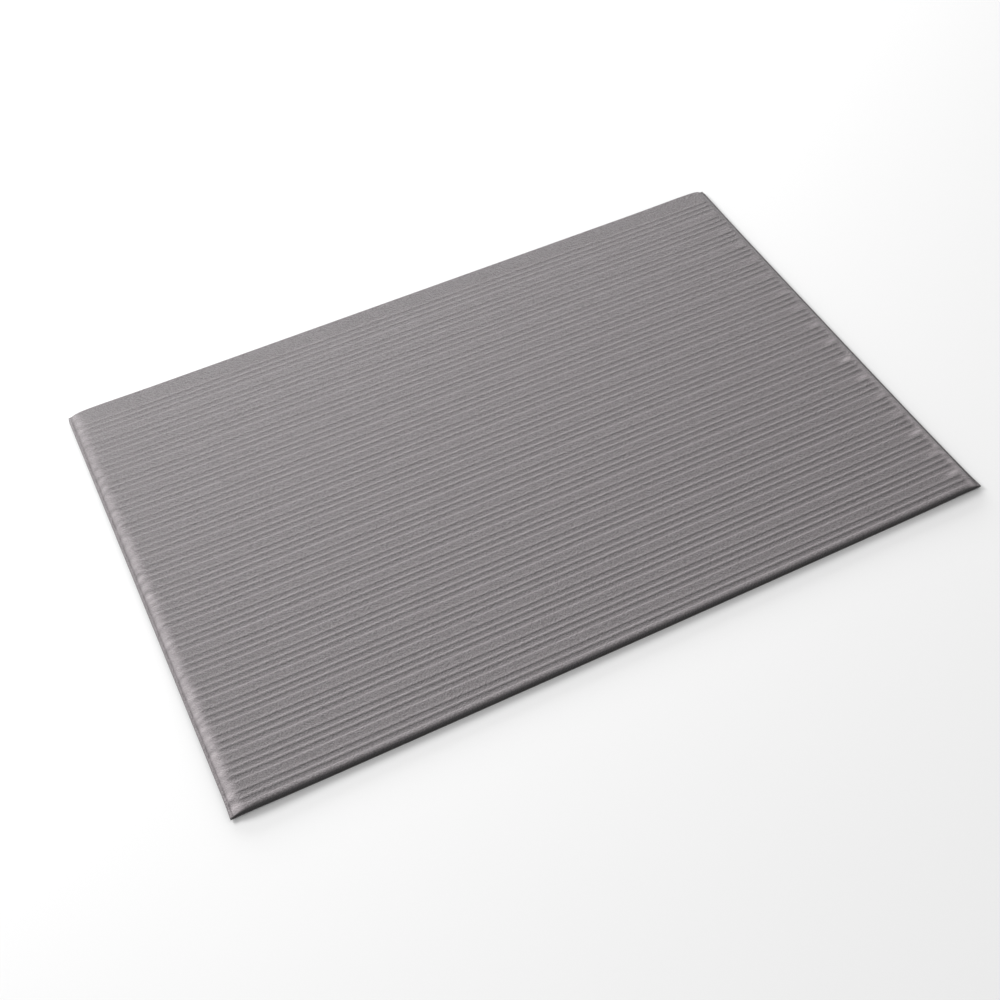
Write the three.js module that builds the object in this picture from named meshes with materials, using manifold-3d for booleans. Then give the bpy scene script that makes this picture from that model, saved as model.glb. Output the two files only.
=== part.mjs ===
// A ribbed anti-fatigue floor mat: a closed-cell foam core sealed between an embossed wear skin
// and a flat base skin. The two skins reach past the foam and are welded to each other all round,
// in a thin lip. The wear skin rolls up from that lip over the foam's edges.
// Millimetres. +Z is up, +X is along the ribs, and the origin is the middle of the underside.

import * as THREE from 'three';
import { mergeVertices } from 'three/addons/utils/BufferGeometryUtils.js';
import Module from 'manifold-3d';

// Overall size
const LENGTH = 914;
const WIDTH = 610;
const THICKNESS = 9.5;

// Skins
const BASE_SKIN = 0.8;
const WEAR_SKIN = 0.9; // under the floors of the grooves
const LIP_THICKNESS = 1.1; // the wear skin's share of the welded lip
const GAP = 0.3; // between faces that touch

// Rolled edges: the flat lip, then the run of the roll from the lip up to the top
const END_LIP = 3.5;
const END_ROLL = 10;
const SIDE_LIP = 0.6;
const SIDE_ROLL = 2.6;
const ROLL_STEPS = 6;
const CORNER_RADIUS = 2;

// Grooves that leave the ribs standing, in bands of three with a wide flat land between bands
const GROOVES_PER_BAND = 3;
const GROOVE_PITCH = 8.4;
const BAND_PITCH = 35;
const BACK_LAND = 29.1; // from the back edge to the first groove
const GROOVE_TOP = 6.6;
const GROOVE_FLOOR = 4.4;
const GROOVE_DEPTH = 0.4;

const wasm = await Module();
wasm.setup();

// A closed three.js geometry as a solid that can be cut
function solid(geometry) {
  const bare = geometry.clone();
  bare.deleteAttribute('normal');
  bare.deleteAttribute('uv');
  const merged = mergeVertices(bare, 1e-4);
  return new wasm.Manifold(new wasm.Mesh({
    numProp: 3,
    vertProperties: new Float32Array(merged.attributes.position.array),
    triVerts: new Uint32Array(merged.index.array),
  }));
}

// The solid as a three.js geometry again
function geometryOf(body) {
  const mesh = body.getMesh();
  const geometry = new THREE.BufferGeometry();
  geometry.setAttribute('position', new THREE.BufferAttribute(new Float32Array(mesh.vertProperties), 3));
  geometry.setIndex(new THREE.BufferAttribute(new Uint32Array(mesh.triVerts), 1));
  geometry.computeVertexNormals();
  return geometry;
}

// Half of a quarter-round edge: points that climb from the lip at `start` to the top, `run` further in
function roll(start, run, low, high) {
  const points = [];
  for (let step = 0; step <= ROLL_STEPS; step++) {
    const turn = (step / ROLL_STEPS) * (Math.PI / 2);
    points.push(new THREE.Vector2(
      start - run * (1 - Math.cos(turn)),
      low + (high - low) * Math.sin(turn),
    ));
  }
  return points;
}

// A closed section, `span` wide: bottom, lip and roll on both sides. `top` holds the points
// across the top, from the positive side to the negative side.
function rolledSection({ span, bottom, lipTop, high, lip, run, top = [] }) {
  const half = span / 2;
  const positive = roll(half - lip, run, lipTop, high);
  if (lip > 0) positive.unshift(new THREE.Vector2(half, lipTop));
  const negative = positive.map((point) => new THREE.Vector2(-point.x, point.y)).reverse();
  return new THREE.Shape([
    new THREE.Vector2(half, bottom),
    ...positive,
    ...top,
    ...negative,
    new THREE.Vector2(-half, bottom),
  ]);
}

// Where each groove's middle lies across the mat, from the back edge forwards
function grooveMiddles() {
  const first = WIDTH / 2 - BACK_LAND - GROOVE_TOP / 2;
  const last = -WIDTH / 2 + SIDE_LIP + SIDE_ROLL + GROOVE_TOP / 2;
  const middles = [];
  for (let band = first; band >= last; band -= BAND_PITCH) {
    for (let groove = 0; groove < GROOVES_PER_BAND; groove++) {
      const middle = band - groove * GROOVE_PITCH;
      if (middle >= last) middles.push(middle);
    }
  }
  return middles;
}

// The line across the ribbed top: down into each groove, along its floor and up again
function ribbedTop() {
  const floor = THICKNESS - GROOVE_DEPTH;
  return grooveMiddles().flatMap((middle) => [
    new THREE.Vector2(middle + GROOVE_TOP / 2, THICKNESS),
    new THREE.Vector2(middle + GROOVE_FLOOR / 2, floor),
    new THREE.Vector2(middle - GROOVE_FLOOR / 2, floor),
    new THREE.Vector2(middle - GROOVE_TOP / 2, THICKNESS),
  ]);
}

// A section across the mat, drawn in Y and Z, extruded along X
function alongX(section, length) {
  const geometry = new THREE.ExtrudeGeometry(section, { depth: length, bevelEnabled: false });
  geometry.translate(0, 0, -length / 2);
  geometry.applyMatrix4(new THREE.Matrix4().makeBasis(
    new THREE.Vector3(0, 1, 0), new THREE.Vector3(0, 0, 1), new THREE.Vector3(1, 0, 0),
  ));
  return solid(geometry);
}

// A section along the mat, drawn in X and Z, extruded along Y
function alongY(section, width) {
  const geometry = new THREE.ExtrudeGeometry(section, { depth: width, bevelEnabled: false });
  geometry.translate(0, 0, -width / 2);
  geometry.applyMatrix4(new THREE.Matrix4().makeBasis(
    new THREE.Vector3(1, 0, 0), new THREE.Vector3(0, 0, 1), new THREE.Vector3(0, -1, 0),
  ));
  return solid(geometry);
}

// The mat's outline, as a plate between two heights
function plate(length, width, low, high) {
  const x = length / 2;
  const y = width / 2;
  const outline = new THREE.Shape();
  outline.moveTo(-x + CORNER_RADIUS, -y);
  outline.lineTo(x - CORNER_RADIUS, -y);
  outline.absarc(x - CORNER_RADIUS, -y + CORNER_RADIUS, CORNER_RADIUS, -Math.PI / 2, 0);
  outline.lineTo(x, y - CORNER_RADIUS);
  outline.absarc(x - CORNER_RADIUS, y - CORNER_RADIUS, CORNER_RADIUS, 0, Math.PI / 2);
  outline.lineTo(-x + CORNER_RADIUS, y);
  outline.absarc(-x + CORNER_RADIUS, y - CORNER_RADIUS, CORNER_RADIUS, Math.PI / 2, Math.PI);
  outline.lineTo(-x, -y + CORNER_RADIUS);
  outline.absarc(-x + CORNER_RADIUS, -y + CORNER_RADIUS, CORNER_RADIUS, Math.PI, Math.PI * 1.5);
  const geometry = new THREE.ExtrudeGeometry(outline, {
    depth: high - low, bevelEnabled: false, curveSegments: 4,
  });
  geometry.translate(0, 0, low);
  return geometry;
}

// The padded volume inside the wear skin, `clear` smaller than the skin's inner face all round
function padding(bottom, clear) {
  const lipTop = BASE_SKIN + GAP + LIP_THICKNESS;
  const high = THICKNESS - GROOVE_DEPTH - WEAR_SKIN - clear;
  const inset = WEAR_SKIN + clear;
  const across = rolledSection({
    span: WIDTH - 2 * (SIDE_LIP + inset), bottom, lipTop, high, lip: 0, run: SIDE_ROLL,
  });
  const along = rolledSection({
    span: LENGTH - 2 * (END_LIP + inset), bottom, lipTop, high, lip: 0, run: END_ROLL,
  });
  return alongX(across, LENGTH).intersect(alongY(along, WIDTH));
}

function baseSkin() {
  return plate(LENGTH, WIDTH, 0, BASE_SKIN);
}

function foamCore() {
  return geometryOf(padding(BASE_SKIN + GAP, GAP));
}

function wearSkin() {
  const bottom = BASE_SKIN + GAP;
  const lipTop = bottom + LIP_THICKNESS;
  const across = rolledSection({
    span: WIDTH, bottom, lipTop, high: THICKNESS, lip: SIDE_LIP, run: SIDE_ROLL, top: ribbedTop(),
  });
  const along = rolledSection({
    span: LENGTH, bottom, lipTop, high: THICKNESS, lip: END_LIP, run: END_ROLL,
  });
  const corners = solid(plate(LENGTH, WIDTH, 0, THICKNESS + 1));
  const outside = alongX(across, LENGTH).intersect(alongY(along, WIDTH)).intersect(corners);
  return geometryOf(outside.subtract(padding(0, 0)));
}

function piece(name, geometry, colour, roughness) {
  const material = new THREE.MeshStandardMaterial({ color: colour, roughness, metalness: 0 });
  const mesh = new THREE.Mesh(geometry, material);
  mesh.name = name;
  return mesh;
}

const mat = new THREE.Group();
mat.add(
  piece('base_skin', baseSkin(), 0x5f5c5d, 0.8),
  piece('foam_core', foamCore(), 0x77757a, 0.95),
  piece('wear_skin', wearSkin(), 0x8c8688, 0.6),
);

export default mat;
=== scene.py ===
import math

import bmesh
import bpy
from mathutils import Matrix, Vector, noise


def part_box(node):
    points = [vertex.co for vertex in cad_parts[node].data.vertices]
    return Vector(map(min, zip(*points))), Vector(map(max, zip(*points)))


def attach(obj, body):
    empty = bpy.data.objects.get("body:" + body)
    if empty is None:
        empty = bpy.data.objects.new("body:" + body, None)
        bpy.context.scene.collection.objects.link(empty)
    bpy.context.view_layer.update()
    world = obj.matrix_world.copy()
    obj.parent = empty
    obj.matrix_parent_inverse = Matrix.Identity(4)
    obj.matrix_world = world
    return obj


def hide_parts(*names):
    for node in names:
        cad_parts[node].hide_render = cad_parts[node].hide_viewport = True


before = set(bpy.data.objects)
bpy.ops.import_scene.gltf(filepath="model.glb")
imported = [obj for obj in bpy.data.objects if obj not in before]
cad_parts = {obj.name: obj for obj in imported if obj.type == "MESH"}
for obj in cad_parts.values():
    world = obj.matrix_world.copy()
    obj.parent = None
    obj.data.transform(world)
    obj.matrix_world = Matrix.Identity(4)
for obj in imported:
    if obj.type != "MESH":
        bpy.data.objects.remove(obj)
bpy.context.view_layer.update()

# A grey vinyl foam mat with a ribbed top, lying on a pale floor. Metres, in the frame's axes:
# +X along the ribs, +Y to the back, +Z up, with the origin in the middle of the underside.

MM = 0.001

# ---------------------------------------------------------------- sizes

base_low, base_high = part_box("base_skin")
foam_low, foam_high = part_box("foam_core")
skin_low, skin_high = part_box("wear_skin")

HALF_LENGTH = skin_high.x
HALF_WIDTH = skin_high.y
TOP = skin_high.z
LIP_BOTTOM = skin_low.z
GAP = skin_low.z - base_high.z

# The rolled edges: a flat welded lip, then the run of the roll up to the top
LIP_THICKNESS = 1.1 * MM
END_LIP = 3.5 * MM
END_ROLL = 10 * MM
SIDE_LIP = 0.6 * MM
SIDE_ROLL = 2.6 * MM
SIDE_SQUARENESS = 2.8
EDGE_ROUND = 0.4 * MM
CORNER_SOFTNESS = 13 * MM

# The skin inside the rolled edges, and the foam that fills it
WEAR_SKIN = 0.9 * MM
INSIDE_TOP = foam_high.z + GAP

# Bands of three grooves with a wide land between bands. Each wall's place is its distance from
# its groove's middle, and the back walls are the steeper ones.
GROOVES_PER_BAND = 3
GROOVE_PITCH = 8.4 * MM
BAND_PITCH = 35 * MM
FIRST_GROOVE = 32.4 * MM
BACK_WALL_TOP = 3.3 * MM
BACK_WALL_FOOT = 2.3 * MM
FRONT_WALL_TOP = 3.5 * MM
FRONT_WALL_FOOT = 2.0 * MM
GROOVE_DEPTH = 0.21 * MM
LAND_DISH = 0.1 * MM

# The grooves die out on the ends, and near the ends they are shallower
GROOVE_FADE_START = 6 * MM
GROOVE_FADE_END = 24 * MM
NEAR_END_START = 16 * MM
NEAR_END_FINISH = 90 * MM
END_SHALLOWNESS = 0.45

# A low bead along the front edge of each land
BEAD_HEIGHT = 0.08 * MM
BEAD_HALF_WIDTH = 1.4 * MM
BEAD_PLACE = BACK_WALL_TOP + 1.0 * MM

# Where the ends roll over: small pleats, a low swell, and a crease between the roll and the lip
PLEAT_HEIGHT = 0.55 * MM
PLEAT_WIDTH = 4 * MM
PLEAT_LENGTH = 30 * MM
PLEAT_START = 4 * MM
PLEAT_MIDDLE = 9 * MM
PLEAT_END = 20 * MM
END_SWELL = 0.12 * MM
END_SWELL_PLACE = 17 * MM
END_SWELL_REACH = 6 * MM
CREASE_DEPTH = 0.15 * MM
CREASE_HALF_WIDTH = 0.55 * MM
BACK_CREASE = 0.35

# Where shade is painted on the skin: the ends' lip edges, the long sides' faces and the foot of each
# groove's back wall
RIM_WIDTH = 0.35 * MM
RIGHT_RIM_WIDTH = 3.6 * MM
SIDE_FACE_TURN = 0.45
SLIT_PLACE = 2.6 * MM
SLIT_HALF_WIDTH = 0.5 * MM

# Where a highlight is painted on the skin: the back edges of the ribs, and less of it along the lands
HIGHLIGHT_PLACE = 2.9 * MM
HIGHLIGHT_HALF_WIDTH = 0.85 * MM
LAND_HIGHLIGHT = 0.6
LAND_HIGHLIGHT_SHIFT = 0.7 * MM
BACK_HIGHLIGHT = 0.35

# Where light is painted on the skin: the ends' rolls, the left lip and patches of the lands
ROLL_PALE_PLACE = 7.5 * MM
ROLL_PALE_REACH = 7 * MM
RIGHT_PALE_SHIFT = 3 * MM
ROLL_PALE = 1.0
FRONT_ROLL_PALE = 1.2
LIP_PALE_END = 3 * MM
LAND_PALE_PLACE = 18 * MM
LAND_PALE_REACH = 9 * MM
LAND_PALE = 2.6
PALE_PATCH_LENGTH = 25 * MM
PALE_PATCH_WIDTH = 7 * MM

# How the mat lies: its ends stay a little raised from having been rolled up, its front edge bows
# out, its right end is a little hollow, and its corners are drawn out in front and in at the back
END_CURL = 2.5 * MM
END_CURL_REACH = 130 * MM
FRONT_BOW = 0.9 * MM
RIGHT_BOW = 2 * MM
FRONT_EAR = 1.0 * MM
FRONT_EAR_REACH = 12 * MM
BACK_EAR = -1.4 * MM
BACK_EAR_REACH = 4.5 * MM

# How finely the meshes are divided
MERGE_DISTANCE = 0.05 * MM
EDGE_DETAIL = 0.15 * MM
LIP_COLUMNS = [0.9 * MM, 1.6 * MM, 2.3 * MM, 2.8 * MM, 3.2 * MM]
GROOVE_END_COLUMNS = [15 * MM, 17 * MM, 20 * MM, 24 * MM, 30 * MM, 40 * MM, 55 * MM, 75 * MM]
BEAD_ROWS = [-0.4 * MM, 0.4 * MM, 1.2 * MM]
WALL_MARGIN = 0.6 * MM
WALL_STEPS = 5
END_ROLL_STEPS = 14
SIDE_ROLL_STEPS = 10
FOAM_ROLL_STEPS = 8
LONG_SPACING = 30 * MM
LAND_SPACING = 2 * MM
BASE_SPACING = 12 * MM
FOAM_EDGE = 0.2 * MM


# ---------------------------------------------------------------- the shape of the surface

def clamp(value):
    return min(max(value, 0.0), 1.0)


def smoothstep(value):
    value = clamp(value)
    return value * value * (3 - 2 * value)


def rise(inward, lip, run, squareness=2):
    """
    How far a rolled edge has climbed, this far in from the outline: 0 on the lip and 1 on top.
    A squareness of 2 is a quarter round, and more has a fuller shoulder.
    """
    across = clamp((inward - lip) / run)
    return (1 - (1 - across) ** squareness) ** (1 / squareness)


def side_rise(inward):
    return rise(inward, SIDE_LIP, SIDE_ROLL, SIDE_SQUARENESS)


def climb(x, y, wall):
    """The climb of all four edges together at a point, for a surface `wall` inside the outer one."""
    from_end = HALF_LENGTH - abs(x) - wall
    from_side = HALF_WIDTH - abs(y) - wall
    from_corner = math.hypot(max(from_end, 0.0), max(from_side, 0.0))
    pinch = 1 - math.exp(-from_corner / CORNER_SOFTNESS)
    return rise(from_end, END_LIP, END_ROLL) * side_rise(from_side) * pinch


def groove_middles():
    """Where each groove's middle lies, from the back edge forwards."""
    first = HALF_WIDTH - FIRST_GROOVE
    last = -HALF_WIDTH + SIDE_LIP + SIDE_ROLL + FRONT_WALL_TOP
    middles = []
    band = first
    while band >= last:
        for groove in range(GROOVES_PER_BAND):
            middle = band - groove * GROOVE_PITCH
            if middle >= last:
                middles.append(middle)
        band -= BAND_PITCH
    return middles


GROOVES = groove_middles()


def groove_cut(y):
    """The share of the full groove depth at this place across the mat."""
    middle = min(GROOVES, key=lambda groove: abs(y - groove))
    if y > middle:
        return smoothstep((BACK_WALL_TOP - y + middle) / (BACK_WALL_TOP - BACK_WALL_FOOT))
    return smoothstep((FRONT_WALL_TOP + y - middle) / (FRONT_WALL_TOP - FRONT_WALL_FOOT))


def forward(y):
    """0 at the back edge and 1 at the front edge."""
    return clamp(0.5 - y / (2 * HALF_WIDTH))


def rightward(x):
    """0 at the left end and 1 at the right end."""
    return clamp(0.5 + x / (2 * HALF_LENGTH))


def land_dish(y):
    """0 at the ribs that edge a land, and 1 along its middle."""
    from_back = (HALF_WIDTH - y - FIRST_GROOVE) % BAND_PITCH
    start = (GROOVES_PER_BAND - 0.5) * GROOVE_PITCH
    across = clamp((from_back - start) / (BAND_PITCH - GROOVES_PER_BAND * GROOVE_PITCH))
    return math.sin(math.pi * across) ** 2


def painted_rib_highlight(x, y):
    """1 along the back edge of each rib, where a highlight is painted, and less along a land's."""
    nearest = min(abs(y - middle + HIGHLIGHT_PLACE) for middle in GROOVES)
    pale = math.exp(-(nearest / HIGHLIGHT_HALF_WIDTH) ** 2)
    use = BACK_HIGHLIGHT + (1 - BACK_HIGHLIGHT) * forward(y)
    return (pale + LAND_HIGHLIGHT * bead(y - LAND_HIGHLIGHT_SHIFT)) * use * groove_fade(x)


def painted_groove_shade(x, y):
    """Painted shade at the foot of each groove's back wall, more of it to the front and near the right
    end.
    """
    nearest = min(abs(y - middle - SLIT_PLACE) for middle in GROOVES)
    amount = max(forward(y) ** 2, near_end(x) * rightward(x))
    return math.exp(-(nearest / SLIT_HALF_WIDTH) ** 2) * amount * slit_fade(x)


def painted_end_light(x, y):
    """
    How much light is painted on the skin: on the left end's lip, on the round of both ends' rolls,
    and in patches on the lands towards the front right corner.
    """
    from_end = HALF_LENGTH - abs(x)
    patchy = 1 + noise.noise(Vector((x / PALE_PATCH_LENGTH, y / PALE_PATCH_WIDTH, 0)))
    place = ROLL_PALE_PLACE + RIGHT_PALE_SHIFT * rightward(x)
    reach = ROLL_PALE_REACH - RIGHT_PALE_SHIFT * rightward(x)
    on_roll = math.exp(-((from_end - place) / reach) ** 2)
    on_roll *= ROLL_PALE * (1 - rightward(x)) + FRONT_ROLL_PALE * forward(y)
    on_land = math.exp(-((from_end - LAND_PALE_PLACE) / LAND_PALE_REACH) ** 2) * land_dish(y)
    on_land *= LAND_PALE * rightward(x) * forward(y)
    on_lip = smoothstep((LIP_PALE_END - from_end) / EDGE_ROUND) * (1 - rightward(x))
    return max(on_roll * patchy, on_land * patchy, on_lip)


def near_end(x):
    """1 where the grooves start, falling to 0 well along the mat."""
    from_end = HALF_LENGTH - abs(x)
    return 1 - smoothstep((from_end - NEAR_END_START) / (NEAR_END_FINISH - NEAR_END_START))


def slit_fade(x):
    """The painted shade in the grooves starts halfway up the ends' rolls."""
    from_end = HALF_LENGTH - abs(x)
    return smoothstep((from_end - END_LIP - END_ROLL / 2) / (END_ROLL / 2))


def groove_fade(x):
    """The grooves die out on the rolled ends."""
    from_end = HALF_LENGTH - abs(x)
    return smoothstep((from_end - GROOVE_FADE_START) / (GROOVE_FADE_END - GROOVE_FADE_START))


def relief(x, y):
    """1 on the floor of a groove and 0 on the ribs and lands."""
    return groove_cut(y) * groove_fade(x)


def bead(y):
    """The low bead just behind the first groove of each band."""
    height = 0.0
    for first in GROOVES[::GROOVES_PER_BAND]:
        across = (y - first - BEAD_PLACE) / BEAD_HALF_WIDTH
        height += math.exp(-across * across)
    return height


def pleats(x, y):
    """Small folds in the skin where it is drawn down over an end."""
    from_end = HALF_LENGTH - abs(x)
    share = smoothstep((from_end - PLEAT_START) / (PLEAT_MIDDLE - PLEAT_START))
    share *= 1 - smoothstep((from_end - PLEAT_MIDDLE) / (PLEAT_END - PLEAT_MIDDLE))
    return share * noise.noise(Vector((x / PLEAT_LENGTH, y / PLEAT_WIDTH, 0)))


def crease(x, y):
    """1 in the crease between an end's lip and its roll, and less of one towards the back."""
    across = (HALF_LENGTH - abs(x) - END_LIP) / CREASE_HALF_WIDTH
    return math.exp(-across * across) * (BACK_CREASE + (1 - BACK_CREASE) * forward(y))


def side_face(x, y):
    """1 on the face of a long side, falling to 0 where the face has rolled over to the top."""
    return smoothstep((1 - side_rise(HALF_WIDTH - abs(y))) / SIDE_FACE_TURN)


def rim_shade(x, y):
    """1 on the cut edge of the lip at either end, and across most of the right end's lip, where shade is
    painted.
    """
    width = RIM_WIDTH + RIGHT_RIM_WIDTH * rightward(x)
    return math.exp(-((HALF_LENGTH - abs(x)) / width) ** 2)


def top_surface(x, y):
    """The height of the ribbed top, with its lip, rolls and grooves."""
    lip_top = LIP_BOTTOM + LIP_THICKNESS
    from_end = HALF_LENGTH - abs(x)
    from_side = HALF_WIDTH - abs(y)
    height = lip_top + (TOP - lip_top) * climb(x, y, 0)
    height -= GROOVE_DEPTH * relief(x, y) * (1 - END_SHALLOWNESS * near_end(x))
    height += BEAD_HEIGHT * bead(y) * groove_fade(x)
    height -= LAND_DISH * land_dish(y) * groove_fade(x)
    height += PLEAT_HEIGHT * pleats(x, y)
    height -= CREASE_DEPTH * crease(x, y)
    swell = (from_end - END_SWELL_PLACE) / END_SWELL_REACH
    height += END_SWELL * math.exp(-swell * swell) * (1 - groove_cut(y))
    edge = clamp(1 - min(from_end, from_side) / EDGE_ROUND)
    height -= EDGE_ROUND * (1 - math.sqrt(1 - edge * edge))
    return height


def inner_surface(x, y):
    """The height of the wear skin's inner face, which is flat where the skin is all lip."""
    return LIP_BOTTOM + (INSIDE_TOP - LIP_BOTTOM) * climb(x, y, WEAR_SKIN)


def foam_surface(x, y):
    return LIP_BOTTOM + (foam_high.z - LIP_BOTTOM) * climb(x, y, WEAR_SKIN + GAP)


def settle(point):
    """
    Moves a point of the flat pattern to where the mat really lies. The fourth powers keep the right
    end's hollow to that end, and clear of its corners.
    """
    along = point.x / HALF_LENGTH
    curl = clamp(1 - (HALF_LENGTH - abs(point.x)) / END_CURL_REACH)
    corner = Vector((math.copysign(HALF_LENGTH, point.x), math.copysign(HALF_WIDTH, point.y), 0))
    apart = (corner - Vector((point.x, point.y, 0))).length
    ear, reach = (FRONT_EAR, FRONT_EAR_REACH) if point.y < 0 else (BACK_EAR, BACK_EAR_REACH)
    outward = Vector((math.copysign(1, point.x), math.copysign(1, point.y), 0)).normalized()
    moved = point + outward * ear * math.exp(-(apart / reach) ** 2)
    moved.y -= FRONT_BOW * (1 - along * along) * forward(point.y)
    moved.x -= RIGHT_BOW * (1 - (point.y / HALF_WIDTH) ** 4) * clamp(along) ** 4
    moved.z += END_CURL * curl * curl
    return moved


# ---------------------------------------------------------------- where the meshes are divided

def roll_places(lip, run, steps):
    """Distances in from the outline, close together where the roll is steep."""
    turns = [step / steps * math.pi / 2 for step in range(steps + 1)]
    return [lip + run * (1 - math.cos(turn)) for turn in turns]


def both_sides(half, inward):
    """Places at these distances in from both ends of a line that runs from -half to half."""
    return [-half + d for d in inward] + [half - d for d in inward]


def evenly(start, end, spacing):
    count = max(1, round((end - start) / spacing))
    return [start + (end - start) * step / count for step in range(count + 1)]


def tidy_places(places):
    """Sorted, with near neighbours made one."""
    kept = []
    for place in sorted(places):
        if not kept or place - kept[-1] > MERGE_DISTANCE:
            kept.append(place)
    return kept


def skin_columns():
    ends = [0, EDGE_DETAIL, EDGE_ROUND] + LIP_COLUMNS
    ends += roll_places(END_LIP, END_ROLL, END_ROLL_STEPS)
    ends += GROOVE_END_COLUMNS
    inner = HALF_LENGTH - ends[-1]
    return tidy_places(both_sides(HALF_LENGTH, ends) + evenly(-inner, inner, LONG_SPACING))


def skin_rows():
    """Rows across the lands, with closer ones of their own on the sides, groove walls and beads."""
    sides = [0, EDGE_DETAIL, EDGE_ROUND] + roll_places(SIDE_LIP, SIDE_ROLL, SIDE_ROLL_STEPS)
    limit = HALF_WIDTH - sides[-1]
    places = evenly(-limit, limit, LAND_SPACING)
    for middle in GROOVES:
        places = [place for place in places if abs(place - middle) >= FRONT_WALL_TOP + WALL_MARGIN]
        places.append(middle)
        for step in range(WALL_STEPS + 1):
            share = step / WALL_STEPS
            places.append(middle + BACK_WALL_FOOT + (BACK_WALL_TOP - BACK_WALL_FOOT) * share)
            places.append(middle - FRONT_WALL_FOOT - (FRONT_WALL_TOP - FRONT_WALL_FOOT) * share)
    for first in GROOVES[::GROOVES_PER_BAND]:
        places += [first + BEAD_PLACE + offset for offset in BEAD_ROWS]
    kept = [place for place in places if abs(place) <= limit]
    return tidy_places(kept + both_sides(HALF_WIDTH, sides))


# ---------------------------------------------------------------- making the pieces

def slab(name, columns, rows, over, under, marks=()):
    """
    A closed piece whose top and bottom follow two height functions, divided at these places.
    Each mark is a function of the place, kept on the mesh under the function's name.
    """
    bm = bmesh.new()
    layers = [(bm.verts.layers.float.new(mark.__name__), mark) for mark in marks]
    bmesh.ops.create_grid(bm, x_segments=len(columns) - 1, y_segments=len(rows) - 1, size=1)
    for vert in bm.verts:
        column = round((vert.co.x + 1) / 2 * (len(columns) - 1))
        row = round((vert.co.y + 1) / 2 * (len(rows) - 1))
        vert.co = Vector((columns[column], rows[row], 0))
    lower = bm.verts[:]
    made = bmesh.ops.extrude_face_region(bm, geom=bm.faces[:])
    upper = [item for item in made["geom"] if isinstance(item, bmesh.types.BMVert)]
    for verts, height in ((lower, under), (upper, over)):
        for vert in verts:
            x, y = vert.co.x, vert.co.y
            for layer, mark in layers:
                vert[layer] = mark(x, y)
            vert.co = settle(Vector((x, y, height(x, y))))
    bmesh.ops.recalc_face_normals(bm, faces=bm.faces[:])
    for face in bm.faces:
        face.smooth = True
    mesh = bpy.data.meshes.new(name)
    bm.to_mesh(mesh)
    bm.free()
    piece = bpy.data.objects.new(name, mesh)
    bpy.context.scene.collection.objects.link(piece)
    return piece


def make_wear_skin():
    marks = (relief, painted_rib_highlight, painted_groove_shade, painted_end_light, crease, side_face, rim_shade)
    return slab("ribbed_wear_skin", skin_columns(), skin_rows(), top_surface, inner_surface, marks)


def make_foam_core():
    """The pad that fills the wear skin. Its edges are kept thick enough to be a closed solid."""
    inset = WEAR_SKIN + GAP
    half_length = HALF_LENGTH - END_LIP - inset
    half_width = HALF_WIDTH - SIDE_LIP - inset
    columns = both_sides(half_length, roll_places(0, END_ROLL, FOAM_ROLL_STEPS))
    columns += evenly(-half_length + END_ROLL, half_length - END_ROLL, LONG_SPACING)
    rows = both_sides(half_width, roll_places(0, SIDE_ROLL, FOAM_ROLL_STEPS))
    rows += evenly(-half_width + SIDE_ROLL, half_width - SIDE_ROLL, LONG_SPACING)
    return slab(
        "foam_core_pad", tidy_places(columns), tidy_places(rows),
        lambda x, y: max(foam_surface(x, y), foam_low.z + FOAM_EDGE), lambda x, y: foam_low.z,
    )


def base_places(half):
    inner = half - BASE_SPACING
    return tidy_places(both_sides(half, [0, EDGE_ROUND, END_LIP]) + evenly(-inner, inner, BASE_SPACING))


def make_base_skin():
    return slab(
        "flat_base_skin", base_places(HALF_LENGTH), base_places(HALF_WIDTH),
        lambda x, y: base_high.z, lambda x, y: base_low.z, (side_face, rim_shade),
    )


# ---------------------------------------------------------------- materials

class Signal:
    """A value in a material's node tree. Arithmetic on it adds Math nodes."""

    def __init__(self, tree, socket):
        self.tree = tree
        self.socket = socket

    def math(self, operation, *values):
        node = self.tree.nodes.new("ShaderNodeMath")
        node.operation = operation
        for slot, value in zip(node.inputs, values):
            if isinstance(value, Signal):
                self.tree.links.new(value.socket, slot)
            else:
                slot.default_value = value
        return Signal(self.tree, node.outputs[0])

    def __add__(self, other):
        return self.math("ADD", self, other)

    def __sub__(self, other):
        return self.math("SUBTRACT", self, other)

    def __rsub__(self, other):
        return self.math("SUBTRACT", other, self)

    def __mul__(self, other):
        return self.math("MULTIPLY", self, other)

    __radd__ = __add__
    __rmul__ = __mul__


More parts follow.
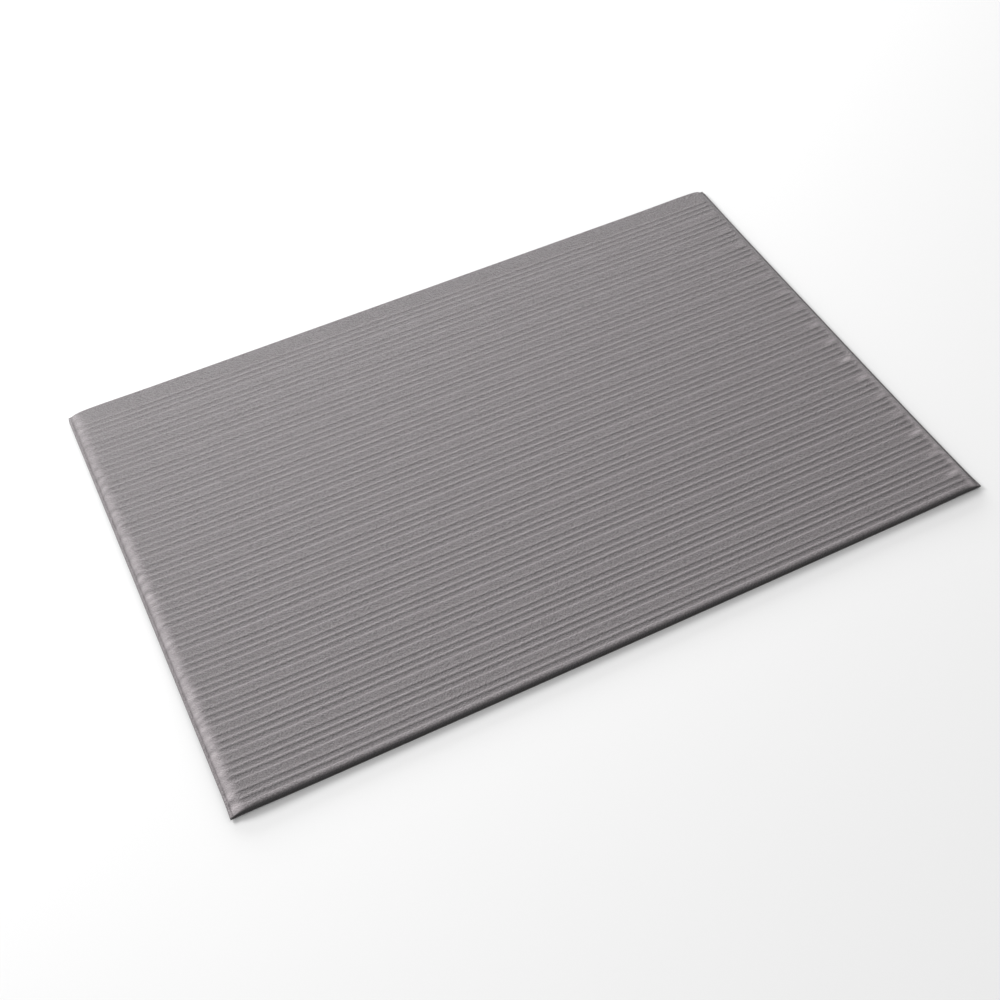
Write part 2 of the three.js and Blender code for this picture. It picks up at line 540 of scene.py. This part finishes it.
class Finish:
    """A material and its node tree, with a Principled shader to feed."""

    def __init__(self, name):
        self.material = bpy.data.materials.new(name)
        self.material.use_nodes = True
        self.tree = self.material.node_tree
        self.shader = self.tree.nodes["Principled BSDF"]

    def node(self, kind, settings=None, **inputs):
        """Adds a node, sets it, and gives its sockets values or links. A double underscore is a space."""
        node = self.tree.nodes.new(kind)
        for key, value in (settings or {}).items():
            setattr(node, key, value)
        for key, value in inputs.items():
            self.feed(node.inputs[key.replace("__", " ")], value)
        return node

    def feed(self, socket, value):
        if isinstance(value, Signal):
            self.tree.links.new(value.socket, socket)
        elif isinstance(value, bpy.types.NodeSocket):
            self.tree.links.new(value, socket)
        else:
            socket.default_value = value

    def place(self):
        return self.node("ShaderNodeTexCoord").outputs["Object"]

    def noise(self, scale, detail=2):
        node = self.node("ShaderNodeTexNoise", Vector=self.place(), Scale=scale, Detail=detail)
        return Signal(self.tree, node.outputs["Fac"])

    def cells(self, scale):
        node = self.node("ShaderNodeTexVoronoi", Vector=self.place(), Scale=scale)
        return Signal(self.tree, node.outputs["Distance"])

    def soft_cells(self, scale, smoothness):
        node = self.node(
            "ShaderNodeTexVoronoi", {"feature": "SMOOTH_F1"},
            Vector=self.place(), Scale=scale, Smoothness=smoothness,
        )
        return Signal(self.tree, node.outputs["Distance"])

    def threads(self, scale, direction):
        node = self.node(
            "ShaderNodeTexWave", {"bands_direction": direction},
            Vector=self.place(), Scale=scale, Distortion=0.4,
        )
        return Signal(self.tree, node.outputs["Fac"])

    def mark(self, function):
        """The value that this function left on the mesh."""
        node = self.node("ShaderNodeAttribute", {"attribute_name": function.__name__})
        return Signal(self.tree, node.outputs["Fac"])

    def mix(self, share, first, second):
        node = self.node("ShaderNodeMix", {"data_type": "RGBA"})
        self.feed(node.inputs[0], share)
        self.feed(node.inputs[6], first)
        self.feed(node.inputs[7], second)
        return node.outputs[2]

    def layers(self, tone, layers):
        """Lays shades over a tone, each with the place where it lies and its strength there."""
        for where, strength, shade in layers:
            tone = self.mix(where * strength, tone, shade)
        return tone

    def bump(self, height, distance, strength=1.0):
        node = self.node("ShaderNodeBump", Height=height, Distance=distance, Strength=strength)
        return node.outputs["Normal"]

    def set(self, **sockets):
        for key, value in sockets.items():
            self.feed(self.shader.inputs[key.replace("__", " ")], value)
        return self.material


WARMTH = 0.1


def grey(level):
    """A slightly warm grey at this linear level."""
    return (level * (1 + WARMTH), level, level * (1 + WARMTH / 3), 1)


# The wear skin's greys
PEBBLE_TOP = grey(0.215)
PEBBLE_VALLEY = grey(0.11)
MOTTLE = grey(0.15)
GROOVE_FLOOR_SHADE = grey(0.125)
HIGHLIGHT_GREY = grey(0.38)
END_LIGHT_GREY = grey(0.42)
WALL_FOOT_SHADE = grey(0.04)
RIM_AND_CREASE_SHADE = grey(0.05)
SIDE_SHADE = grey(0.018)

# How close the textures are, as repeats in a metre, and how deep they are pressed
PEBBLES = 620
PEBBLE_DEPTH = 0.7 * MM
COARSE_GRAIN = 560
FINE_GRAIN = 1900
SKIN_MOTTLE = 40
FOAM_CELLS = 1400
FOAM_CELL_DEPTH = 0.25 * MM
THREADS = 260
THREAD_DEPTH = 0.15 * MM
BASE_MOTTLE = 30


def wear_skin_finish():
    """Vinyl pressed with a fine pebbled grain, matt with a soft sheen. It is dark along the sides, where
    shade is painted; shade is painted in the grooves, crease and lip edges too, and highlights along the
    ribs and ends.
    """
    finish = Finish("pebbled_vinyl")
    pebbles = finish.soft_cells(PEBBLES, 0.5)
    coarse = finish.noise(COARSE_GRAIN)
    fine = finish.noise(FINE_GRAIN)
    tone = finish.layers(finish.mix(pebbles * 1.4, PEBBLE_TOP, PEBBLE_VALLEY), (
        (finish.noise(SKIN_MOTTLE, detail=4), 0.3, MOTTLE),
        # Painted shade on the groove floors
        (finish.mark(relief), 0.15, GROOVE_FLOOR_SHADE),
        # Painted highlight along the ribs' back edges, standing in for their sheen
        (finish.mark(painted_rib_highlight), 0.5, HIGHLIGHT_GREY),
        # Painted shade at the foot of each groove's back wall
        (finish.mark(painted_groove_shade), 0.75, WALL_FOOT_SHADE),
        # Painted light on the ends' rolls, the left lip and the lands near the front right
        (finish.mark(painted_end_light), 0.33, END_LIGHT_GREY),
        # Painted shade in the crease between each end's lip and its roll
        (finish.mark(crease), 0.3, RIM_AND_CREASE_SHADE),
        # Painted shade on the faces of the long sides
        (finish.mark(side_face), 1, SIDE_SHADE),
        # Painted shade on the ends' lip edges, and across most of the right end's lip
        (finish.mark(rim_shade), 0.6, RIM_AND_CREASE_SHADE),
    ))
    height = coarse * 1.2 - pebbles + fine * 0.6
    return finish.set(
        Base__Color=tone,
        Roughness=0.32 + fine * 0.16,
        Normal=finish.bump(height, PEBBLE_DEPTH),
        IOR=1.5,
    )


def foam_finish():
    """Closed-cell foam: small round cells, very matt."""
    finish = Finish("closed_cell_foam")
    cells = finish.cells(FOAM_CELLS)
    return finish.set(
        Base__Color=finish.mix(cells, grey(0.2), grey(0.27)),
        Roughness=0.86 + cells * 0.1,
        Normal=finish.bump(cells, FOAM_CELL_DEPTH),
    )


def base_skin_finish():
    """The plain underside: vinyl that still shows the cloth it was cast on."""
    finish = Finish("cloth_cast_vinyl")
    weave = finish.threads(THREADS, "X") * finish.threads(THREADS, "Y")
    mottle = finish.noise(BASE_MOTTLE, detail=4)
    cloth = finish.mix(weave * 0.5 + mottle * 0.4, grey(0.15), grey(0.2))
    # Painted shade on the base skin's long sides and end edges
    edge = finish.mark(side_face) + finish.mark(rim_shade)
    return finish.set(
        Base__Color=finish.mix(edge * 0.8, cloth, grey(0.035)),
        Roughness=0.66 + mottle * 0.14,
        Normal=finish.bump(weave, THREAD_DEPTH, 0.7),
    )


def floor_finish():
    return Finish("pale_floor").set(Base__Color=(0.86, 0.86, 0.86, 1), Roughness=0.9)


# ---------------------------------------------------------------- the mat

def finish_piece(piece, material, node):
    """Gives a piece its material, and puts it in the place of the solid that it stands for."""
    piece.data.materials.append(material)
    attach(piece, "root")
    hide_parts(node)


wear_skin = make_wear_skin()
foam_core = make_foam_core()
base_skin = make_base_skin()
finish_piece(wear_skin, wear_skin_finish(), "wear_skin")
finish_piece(foam_core, foam_finish(), "foam_core")
finish_piece(base_skin, base_skin_finish(), "base_skin")


# ---------------------------------------------------------------- floor, light and camera

FLOOR_HALF_SIZE = 8
FLOOR_CLEARANCE = 0.2 * MM


def make_floor():
    bm = bmesh.new()
    bmesh.ops.create_grid(bm, x_segments=1, y_segments=1, size=FLOOR_HALF_SIZE)
    mesh = bpy.data.meshes.new("floor")
    bm.to_mesh(mesh)
    bm.free()
    floor = bpy.data.objects.new("floor", mesh)
    floor.location.z = base_low.z - FLOOR_CLEARANCE
    floor.data.materials.append(floor_finish())
    bpy.context.scene.collection.objects.link(floor)


def make_light(name, place, aim, width, height, power):
    """A flat soft light that faces the point it aims at."""
    light = bpy.data.lights.new(name, "AREA")
    light.shape = "RECTANGLE"
    light.size = width
    light.size_y = height
    light.energy = power
    lamp = bpy.data.objects.new(name, light)
    lamp.location = place
    lamp.rotation_euler = (Vector(aim) - Vector(place)).to_track_quat("-Z", "Y").to_euler()
    bpy.context.scene.collection.objects.link(lamp)


def make_world(strength):
    world = bpy.data.worlds.new("studio")
    world.use_nodes = True
    background = world.node_tree.nodes["Background"]
    background.inputs["Color"].default_value = (1, 1, 1, 1)
    background.inputs["Strength"].default_value = strength
    bpy.context.scene.world = world


def make_camera():
    """Looks down on the mat from its front left."""
    azimuth = math.radians(-23.58)
    elevation = math.radians(50.51)
    roll = math.radians(-3.42)
    target = Vector((-0.040, -0.061, 0))
    distance = 1.6606
    level = math.cos(elevation)
    back = Vector((math.sin(azimuth) * level, -math.cos(azimuth) * level, math.sin(elevation)))
    right = (-back).cross(Vector((0, 0, 1))).normalized()
    up = right.cross(-back)
    turned_right = right * math.cos(roll) + up * math.sin(roll)
    turned_up = up * math.cos(roll) - right * math.sin(roll)
    camera = bpy.data.objects.new("camera", bpy.data.cameras.new("camera"))
    camera.data.sensor_width = 36
    camera.data.lens = 51.3
    camera.data.clip_start = 0.05
    axes = Matrix((turned_right, turned_up, back)).transposed().to_4x4()
    camera.matrix_world = Matrix.Translation(target + back * distance) @ axes
    bpy.context.scene.collection.objects.link(camera)
    bpy.context.scene.camera = camera


make_floor()
make_light(
    "strip_behind", place=(0.3, 2.8, 0.85), aim=(0, 0, 0), width=3.4, height=0.9, power=58,
)
make_light(
    "key_back_left", place=(-1.7, 1.8, 2.0), aim=(-0.1, 0, 0), width=1.2, height=1.2, power=62,
)
make_world(strength=0.64)
make_camera()
bpy.context.scene.view_settings.view_transform = "Standard"
